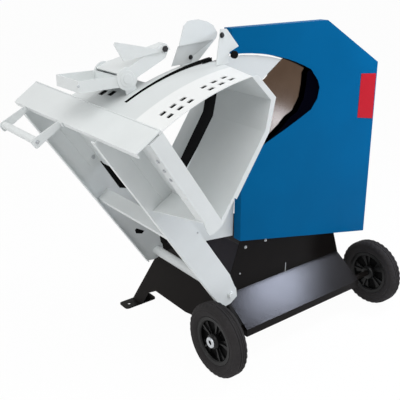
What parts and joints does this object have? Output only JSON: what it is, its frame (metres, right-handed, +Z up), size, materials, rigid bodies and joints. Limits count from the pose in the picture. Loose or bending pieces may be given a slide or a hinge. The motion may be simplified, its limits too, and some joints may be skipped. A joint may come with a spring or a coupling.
{
  "type": "firewood circular saw",
  "caption": "Tilting-cradle firewood saw: a large toothed blade in a sheet-metal guard with a motor behind it, a folded stand with wheels and feet, and a log cradle that rocks into the blade.",
  "frame": {"origin": "middle of the footprint box, on the floor the feet and wheels stand on", "axes": "+X from the cradle handle towards the guard's far edge, +Y along the log from the open end of the cradle towards the motor, +Z up"},
  "size_m": [1.4376, 0.8204, 1.2568],
  "materials": {
    "cradle_paint": "satin light grey powder coat",
    "stand_paint": "semi-gloss black powder coat",
    "guard_paint": "satin blue powder coat",
    "tag_red": "red label plate",
    "zinc_steel": "zinc plated",
    "blade_steel": "ground steel",
    "cast_alloy": "cast, finned",
    "dark_plastic": "moulded",
    "tyre_rubber": "solid tyre",
    "start_green": "push button",
    "stop_red": "push button",
    "bronze": "sintered bush"
  },
  "bodies": {
    "stand": {"base_front_panel": "stand_paint", "base_left_panel": "stand_paint", "base_right_panel": "stand_paint", "base_back_panel": "stand_paint", "foot_left": "stand_paint", "foot_right": "stand_paint", "pivot_bush_front": "bronze", "pivot_bush_rear": "bronze", "return_spring": "zinc_steel", "axle": "zinc_steel", "guard_front_cover": "guard_paint", "guard_back_plate": "guard_paint", "size_tag": "tag_red", "motor_flange": "cast_alloy", "motor_housing": "cast_alloy", "motor_fan_cover": "stand_paint", "switch_box": "dark_plastic", "power_inlet": "dark_plastic"},
    "wheel_left": {"wheel_left_tyre": "tyre_rubber", "wheel_left_rim": "dark_plastic", "wheel_left_cap": "zinc_steel"},
    "wheel_right": {"wheel_right_tyre": "tyre_rubber", "wheel_right_rim": "dark_plastic", "wheel_right_cap": "zinc_steel"},
    "blade_rotor": {"saw_blade": "blade_steel", "blade_flange_inner": "zinc_steel", "blade_flange_outer": "zinc_steel", "arbor_nut": "zinc_steel", "motor_shaft": "zinc_steel", "motor_fan": "dark_plastic"},
    "start_button": {"start_button": "start_green"},
    "stop_button": {"stop_button": "stop_red"},
    "cradle": {"cradle_leg_front": "cradle_paint", "cradle_leg_rear": "cradle_paint", "pivot_tube": "cradle_paint", "pivot_bolt_front": "zinc_steel", "pivot_bolt_rear": "zinc_steel", "spring_collar": "zinc_steel", "cradle_shelf": "cradle_paint", "cradle_flap": "cradle_paint", "handle_arm_front": "cradle_paint", "handle_arm_rear": "cradle_paint", "handle_grip": "cradle_paint", "log_cover": "cradle_paint", "trough_left_front": "cradle_paint", "trough_left_rear": "cradle_paint", "trough_right_front": "cradle_paint", "trough_right_rear": "cradle_paint", "trough_gusset": "cradle_paint", "trough_front_plate": "cradle_paint", "trough_rear_cheek": "cradle_paint", "cover_bracket": "cradle_paint", "cover_fin": "cradle_paint", "claw_ear_front": "cradle_paint", "claw_ear_rear": "cradle_paint", "claw_hinge_pin": "zinc_steel"},
    "claw_arm": {"claw_arm": "cradle_paint", "claw_pin": "zinc_steel"},
    "claw": {"claw": "cradle_paint"}
  },
  "joints": [
    {"name": "cradle_tilt", "type": "hinge", "parent": "stand", "child": "cradle", "pos_m": [-0.0985, -0.18874, 0.268], "axis": [0, 1, 0], "range_deg": [0, 28], "stiffness_Nm_per_rad": 60, "springref_deg": -20.05},
    {"name": "blade_spin", "type": "hinge", "parent": "stand", "child": "blade_rotor", "pos_m": [0.3115, -0.15314, 0.808], "axis": [0, 1, 0], "continuous": true},
    {"name": "wheel_left_spin", "type": "hinge", "parent": "stand", "child": "wheel_left", "pos_m": [-0.197, -0.23824, 0.141], "axis": [1, 0, 0], "continuous": true},
    {"name": "wheel_right_spin", "type": "hinge", "parent": "stand", "child": "wheel_right", "pos_m": [0.674, -0.23824, 0.141], "axis": [1, 0, 0], "continuous": true},
    {"name": "claw_arm_lift", "type": "hinge", "parent": "cradle", "child": "claw_arm", "pos_m": [-0.4658, -0.12594, 1.1008], "axis": [0, -1, 0], "range_deg": [0, 30]},
    {"name": "claw_fold", "type": "hinge", "parent": "claw_arm", "child": "claw", "pos_m": [-0.32963, -0.12594, 1.1769], "axis": [0, 1, 0], "range_deg": [0, 60]},
    {"name": "start_press", "type": "slide", "parent": "stand", "child": "start_button", "axis": [-1, 0, 0], "range_m": [0, 0.004], "stiffness_N_per_m": 400, "springref_m": -0.001},
    {"name": "stop_press", "type": "slide", "parent": "stand", "child": "stop_button", "axis": [-1, 0, 0], "range_m": [0, 0.004], "stiffness_N_per_m": 400, "springref_m": -0.001}
  ]
}
